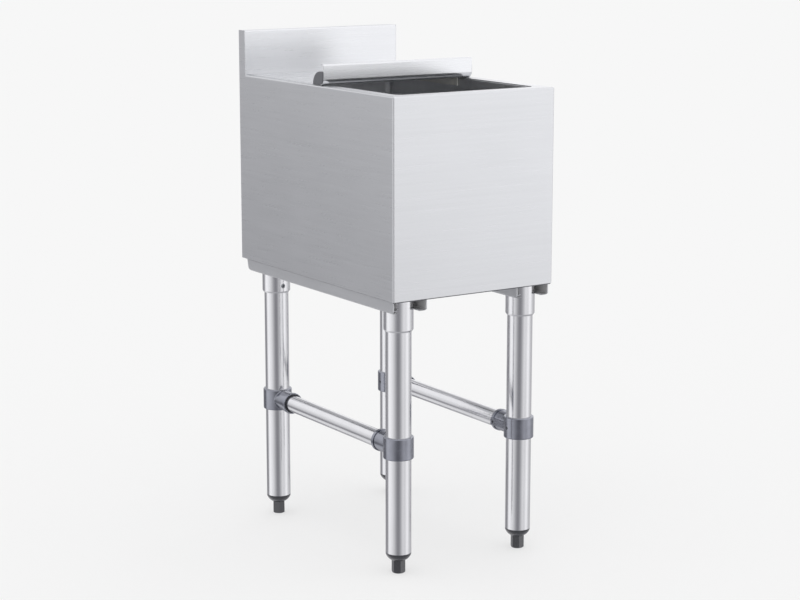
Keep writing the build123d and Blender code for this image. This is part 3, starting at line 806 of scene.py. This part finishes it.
class ICEBIN_OT_legs(bpy.types.Operator):
    """Polished leg tubes, rails and sockets"""

    bl_idname = "icebin.legs"
    bl_label = "Legs and Rails"

    def execute(self, context):
        metal = context.scene.icebin_metal
        upright = polished_tube("polished stainless tube", metal.tube_colour, grain_mm=(1.5, 1.5, 60))
        level = polished_tube("polished stainless rail", metal.tube_colour, grain_mm=(1.5, 60, 1.5))
        screw = turned_metal("plated steel set screw", metal.screw_colour, rough=0.3)
        for corner in CORNERS:
            self.leg(f"leg_{corner}", metal, upright)
            finished_copy(f"leg_socket_{corner}", upright, metal.tube_edge, SOCKET_CREASE)
        for side in SIDES:
            self.rail(f"side_rail_{side}", metal, level)
        for node in ("socket_set_screws", "ring_set_screws", "rail_set_screws"):
            finished_copy(node, screw, 0)
        return {"FINISHED"}

    def leg(self, node, metal, steel):
        """Upright tube with its end edges broken."""
        low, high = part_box(node)
        profile = tube_profile(half_width(low, high), metal.tube_wall, low.z, high.z, metal.tube_edge)
        bm = turned(profile, middle(low, high), metal.turned_steps)
        place_for_node(bm, "turned", node, steel, TURNED_CREASE)

    def rail(self, node, metal, steel):
        """Tube that is turned upright and then laid down from front to rear."""
        low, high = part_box(node)
        profile = tube_profile(half_width(low, high), metal.tube_wall, low.y, high.y, metal.tube_edge)
        bm = turned(profile, (0, 0), metal.turned_steps)
        lay_down(bm, ((low.x + high.x) / 2, 0, (low.z + high.z) / 2))
        place_for_node(bm, "turned", node, steel, TURNED_CREASE)


class ICEBIN_OT_tees(bpy.types.Operator):
    """Dark cast tees that clamp the rails to the legs"""

    bl_idname = "icebin.tees"
    bl_label = "Cast Tees"

    def execute(self, context):
        metal = context.scene.icebin_metal
        plastic = context.scene.icebin_plastic
        zinc = cast_zinc("dark plated zinc casting", metal.cast_colour)
        # Black ring at each tee's mouth: painted shadow in the gap round the rail
        nylon = moulded_plastic(
            "moulded black bush", plastic.foot_colour, rough=0.5, texture_mm=0.8, depth_mm=0.02
        )
        for end in ENDS:
            for side in SIDES:
                tee = f"tee_clamp_{end}_{side}"
                finished_copy(tee, zinc, metal.cast_edge)
                self.bush(tee, f"side_rail_{side}", plastic, nylon, metal.turned_steps)
        return {"FINISHED"}

    def bush(self, tee, rail, plastic, nylon, steps):
        """Thin black ring at the mouth of a tee round its rail: painted shadow in the gap between them."""
        tee_low, tee_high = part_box(tee)
        rail_low, rail_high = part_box(rail)
        toward = 1 if tee_high.y < 0 else -1
        mouth = tee_high.y if toward > 0 else tee_low.y
        inner = half_width(rail_low, rail_high) + plastic.bush_gap
        outer = inner + plastic.bush_width
        height = plastic.bush_height
        bm = turned([(inner, 0), (outer, 0), (outer, height), (inner, height)], (0, 0), steps)
        lay_down(bm, ((rail_low.x + rail_high.x) / 2, mouth, (rail_low.z + rail_high.z) / 2), toward)
        slot = SLOT_OF["foot_front_left"]
        place_piece(bm, f"rail_gap_shade_{tee}", body_of_node(tee), slot, nylon, TURNED_CREASE)


class ICEBIN_OT_feet(bpy.types.Operator):
    """Adjustable feet: moulded foot, threaded stud and tube insert"""

    bl_idname = "icebin.feet"
    bl_label = "Adjustable Feet"

    def execute(self, context):
        metal = context.scene.icebin_metal
        plastic = context.scene.icebin_plastic
        thread = context.scene.icebin_thread
        nylon = moulded_plastic(
            "moulded black nylon", plastic.foot_colour, rough=0.24, texture_mm=0.8, depth_mm=0.02, skin=1.0
        )
        steel = turned_metal("plated threaded steel", metal.screw_colour, rough=0.3)
        for corner, turn in zip(CORNERS, FOOT_TURNS):
            self.insert(f"foot_insert_{corner}", metal, plastic, nylon)
            self.foot(f"foot_{corner}", plastic, nylon, math.radians(turn))
            self.stud(f"foot_stud_{corner}", metal, thread, steel)
        return {"FINISHED"}

    def insert(self, node, metal, plastic, nylon):
        """Tube insert: a thin collar over a bowl-shaped underside, and the plug inside the tube."""
        low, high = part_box(node)
        bore = plastic.bowl_bore
        collar = half_width(low, high)
        plug = collar - metal.tube_wall - plastic.insert_gap
        bowl_top = low.z + plastic.bowl_height
        collar_top = bowl_top + plastic.collar_height
        start = (plastic.bowl_radius, low.z)
        end = (collar, bowl_top)
        profile = [(bore, low.z), start, *curved(start, end, plastic.bowl_bulge, BOWL_STEPS), end]
        profile += [(collar, collar_top), (plug, collar_top), (plug, high.z), (bore, high.z)]
        bm = turned(profile, middle(low, high), metal.turned_steps)
        piece = place_for_node(bm, "turned", node, nylon, THREAD_CREASE)
        edge_rounding(piece, metal.sheet_edge, THREAD_CREASE)

    def foot(self, node, plastic, nylon, turn):
        """Foot: a round bar turned at its lower edge, with six flats milled up its whole height."""
        low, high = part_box(node)
        centre = middle(low, high)
        apothem = plastic.foot_flats / 2
        bar = apothem / math.cos(math.pi / FLAT_COUNT) * BAR_MARGIN
        chamfer = plastic.foot_chamfer
        start = (plastic.tread_radius, low.z)
        end = (bar, low.z + plastic.tread_height)
        profile = [(0, low.z), start, *curved(start, end, plastic.tread_bulge, TREAD_STEPS), end]
        profile += [(bar, high.z - chamfer), (bar - chamfer, high.z), (0, high.z)]
        bm = turned(profile, centre, FOOT_STEPS)
        for flat in range(FLAT_COUNT):
            angle = turn + math.tau * (flat + 0.5) / FLAT_COUNT
            outward = Vector((math.cos(angle), math.sin(angle), 0))
            whole = bm.verts[:] + bm.edges[:] + bm.faces[:]
            place = Vector((*centre, 0)) + outward * apothem
            cut = bmesh.ops.bisect_plane(bm, geom=whole, plane_co=place, plane_no=outward, clear_outer=True)
            edges = [item for item in cut["geom_cut"] if isinstance(item, bmesh.types.BMEdge)]
            bmesh.ops.edgeloop_fill(bm, edges=edges)
        bmesh.ops.remove_doubles(bm, verts=bm.verts, dist=CUT_MERGE)
        bmesh.ops.recalc_face_normals(bm, faces=bm.faces)
        piece = place_for_node(bm, "milled", node, nylon, TURNED_CREASE)
        edge_rounding(piece, plastic.foot_edge, TURNED_CREASE)

    def stud(self, node, metal, thread, steel):
        """Threaded stud: a round core, chamfered at its top, with the thread's ridge wound up it."""
        low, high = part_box(node)
        centre = middle(low, high)
        crest = half_width(low, high)
        root = crest - thread.stud_depth
        chamfer = metal.tube_edge
        profile = [(0, low.z), (root, low.z), (root, high.z - chamfer)]
        profile += [(root - chamfer, high.z), (0, high.z)]
        core = turned(profile, centre, metal.turned_steps // 2)
        ridge = thread_ridge(centre, root, crest, low.z, high.z, thread.stud_pitch, thread.steps)
        place_for_node(join(core, ridge), "threaded", node, steel, THREAD_CREASE)


class ICEBIN_OT_drain(bpy.types.Operator):
    """Drain spud with its pipe thread, strainer, gasket and locknut"""

    bl_idname = "icebin.drain"
    bl_label = "Drain"

    def execute(self, context):
        metal = context.scene.icebin_metal
        plastic = context.scene.icebin_plastic
        brass = turned_metal("turned brass", metal.brass_colour, rough=0.32)
        steel = turned_metal("pressed stainless strainer", metal.liner_colour, rough=0.3)
        rubber = moulded_plastic(
            "moulded rubber gasket", plastic.gasket_colour, rough=0.75, texture_mm=1.0, depth_mm=0.05
        )
        finished_copy("drain_strainer", steel, 0)
        finished_copy("drain_gasket", rubber, 0)
        finished_copy("drain_locknut", brass, 0)
        self.spud("drain_spud", context.scene.icebin_thread, metal, brass)
        return {"FINISHED"}

    def spud(self, node, thread, metal, brass):
        """Drain spud: a flange with the strainer's recess, a threaded shank and a plain tail."""
        low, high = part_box(node)
        strainer_low, strainer_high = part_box("drain_strainer")
        centre = middle(low, high)
        flange = half_width(low, high)
        recess = half_width(strainer_low, strainer_high) + thread.strainer_gap
        tail_top = low.z + thread.drain_tail_length
        flange_low = high.z - thread.drain_flange
        root = thread.drain_root
        crest = thread.drain_crest
        profile = [
            (thread.drain_bore, low.z),
            (thread.drain_tail_radius, low.z),
            (thread.drain_tail_radius, tail_top),
            (root, tail_top),
            (root, flange_low),
            (flange, flange_low),
            (flange, flange_low + thread.drain_rim),
            (recess + thread.drain_slope, high.z),
            (recess, high.z),
            (recess, strainer_low.z),
            (thread.drain_bore, strainer_low.z),
        ]
        core = turned(profile, centre, metal.turned_steps)
        ridge = thread_ridge(centre, root, crest, tail_top, flange_low, thread.drain_pitch, thread.steps)
        place_for_node(join(core, ridge), "threaded", node, brass, THREAD_CREASE)


class ICEBIN_OT_stage(bpy.types.Operator):
    """Pale floor, soft studio surroundings and the camera"""

    bl_idname = "icebin.stage"
    bl_label = "Studio"

    def execute(self, context):
        stage = context.scene.icebin_stage
        self.add_floor(context.scene, stage)
        self.add_world(context.scene, stage)
        self.add_camera(context.scene, stage)
        context.scene.view_settings.view_transform = "Standard"
        return {"FINISHED"}

    def add_floor(self, scene, stage):
        """A wide disc of pale paper. What the camera sees of it is partly its own glow, so that shadows
        stay soft. Reflections pass through it, so that metal shows the studio all round."""
        bm = bmesh.new()
        bmesh.ops.create_circle(bm, cap_ends=True, segments=FLOOR_SEGMENTS, radius=stage.floor_radius)
        mesh = bpy.data.meshes.new("studio_floor")
        bm.to_mesh(mesh)
        bm.free()
        floor = bpy.data.objects.new("studio_floor", mesh)
        scene.collection.objects.link(floor)
        material = bpy.data.materials.new("pale seamless paper")
        material.use_nodes = True
        tree = material.node_tree
        tree.nodes.clear()
        colour = (*stage.backdrop_colour, 1)
        paper = add_node(tree, "ShaderNodeBsdfDiffuse", {"Color": colour})
        glow = add_node(tree, "ShaderNodeEmission", {"Color": colour, "Strength": 1.0})
        clear = add_node(tree, "ShaderNodeBsdfTransparent")
        path = add_node(tree, "ShaderNodeLightPath")
        share = {0: path.outputs["Is Camera Ray"], 1: stage.floor_glow}
        share = add_node(tree, "ShaderNodeMath", share, operation="MULTIPLY")
        lit = {0: share.outputs[0], 1: paper.outputs["BSDF"], 2: glow.outputs["Emission"]}
        lit = add_node(tree, "ShaderNodeMixShader", lit)
        shaders = {0: path.outputs["Is Glossy Ray"], 1: lit.outputs["Shader"], 2: clear.outputs["BSDF"]}
        mix = add_node(tree, "ShaderNodeMixShader", shaders)
        add_node(tree, "ShaderNodeOutputMaterial", {"Surface": mix.outputs["Shader"]})
        mesh.materials.append(material)

    def add_world(self, scene, stage):
        """Even white light on matt surfaces, the backdrop's colour for the camera, and for reflections a
        studio of screens in layers from the ground to the ceiling."""
        world = bpy.data.worlds.new("soft studio")
        scene.world = world
        world.use_nodes = True
        tree = world.node_tree
        tree.nodes.clear()
        direction = add_node(tree, "ShaderNodeTexCoord").outputs["Generated"]
        # Turned so that X points from the object to the camera
        swing = {"Vector": direction, "Angle": math.pi / 2 + stage.camera_turn}
        swing = add_node(tree, "ShaderNodeVectorRotate", swing, rotation_type="Z_AXIS")
        axes = add_node(tree, "ShaderNodeSeparateXYZ", {"Vector": swing.outputs["Vector"]}).outputs
        angle = add_node(tree, "ShaderNodeMath", {0: axes["Y"], 1: axes["X"]}, operation="ARCTAN2")
        turn = spread(tree, angle.outputs[0], start=-math.pi, end=math.pi)
        studio = self.screens(tree, turn, GROUND_SCREENS)
        for start, end, stops in RISING_SCREENS:
            rise = spread(tree, axes["Z"], start=start, end=end)
            layer = {"Factor": rise, MIX_LOW: studio, MIX_HIGH: self.screens(tree, turn, stops)}
            studio = add_node(tree, "ShaderNodeMix", layer, data_type="RGBA").outputs[MIX_RESULT]
        backdrop = (*stage.backdrop_colour, 1)
        even = add_node(tree, "ShaderNodeBackground", {"Color": (1, 1, 1, 1), "Strength": 1.0})
        reflected = add_node(tree, "ShaderNodeBackground", {"Color": studio, "Strength": 1.0})
        seen = add_node(tree, "ShaderNodeBackground", {"Color": backdrop, "Strength": 1.0})
        rays = add_node(tree, "ShaderNodeLightPath").outputs
        light = {0: rays["Is Glossy Ray"], 1: even.outputs[0], 2: reflected.outputs[0]}
        light = add_node(tree, "ShaderNodeMixShader", light)
        surroundings = {0: rays["Is Camera Ray"], 1: light.outputs[0], 2: seen.outputs[0]}
        surroundings = add_node(tree, "ShaderNodeMixShader", surroundings)
        add_node(tree, "ShaderNodeOutputWorld", {"Surface": surroundings.outputs[0]})

    def screens(self, tree, turn, stops):
        """Colour of one layer of screens for each turn round the object, from -180 to 180 degrees."""
        ramp = add_node(tree, "ShaderNodeValToRGB", {"Fac": turn})
        elements = ramp.color_ramp.elements
        # New stops start in the middle of the ramp and are then moved to their places
        while len(elements) < len(stops):
            elements.new(0.5)
        for element, (angle, level) in zip(elements, stops):
            element.position = (angle + 180) / 360
            element.color = (level, level, level + BLUE_VEIL, 1)
        return ramp.outputs["Color"]

    def add_camera(self, scene, stage):
        data = bpy.data.cameras.new("camera")
        data.lens = stage.lens
        data.clip_end = VIEW_DEPTH
        camera = bpy.data.objects.new("camera", data)
        scene.collection.objects.link(camera)
        camera.location = stage.camera_place
        camera.rotation_euler = (math.pi / 2 - stage.camera_tilt, 0, -stage.camera_turn)
        scene.camera = camera


class ICEBIN_PT_panel(bpy.types.Panel):
    """Sidebar panel with a button for each group of pieces, and the sizes and colours below."""

    bl_idname = "ICEBIN_PT_panel"
    bl_label = "Ice Bin"
    bl_space_type = "VIEW_3D"
    bl_region_type = "UI"
    bl_category = "Ice Bin"

    def draw(self, context):
        for operator in OPERATORS:
            self.layout.operator(operator.bl_idname)
        for name in SETTINGS:
            group = getattr(context.scene, name)
            box = self.layout.box()
            for key in group.__annotations__:
                box.prop(group, key)


OPERATORS = (
    ICEBIN_OT_sheet,
    ICEBIN_OT_tub,
    ICEBIN_OT_lid,
    ICEBIN_OT_legs,
    ICEBIN_OT_tees,
    ICEBIN_OT_feet,
    ICEBIN_OT_drain,
    ICEBIN_OT_stage,
)
SETTINGS = {
    "icebin_metal": IceBinMetal,
    "icebin_plastic": IceBinPlastic,
    "icebin_thread": IceBinThread,
    "icebin_stage": IceBinStage,
}


def register():
    for group in (*SETTINGS.values(), *OPERATORS, ICEBIN_PT_panel):
        bpy.utils.register_class(group)
    for name, group in SETTINGS.items():
        setattr(bpy.types.Scene, name, PointerProperty(type=group))


def unregister():
    for name in SETTINGS:
        delattr(bpy.types.Scene, name)
    for group in (ICEBIN_PT_panel, *reversed(OPERATORS), *reversed(tuple(SETTINGS.values()))):
        bpy.utils.unregister_class(group)


def main():
    register()
    bpy.ops.icebin.sheet()
    bpy.ops.icebin.tub()
    bpy.ops.icebin.lid()
    bpy.ops.icebin.legs()
    bpy.ops.icebin.tees()
    bpy.ops.icebin.feet()
    bpy.ops.icebin.drain()
    bpy.ops.icebin.stage()


if __name__ == "__main__":
    main()
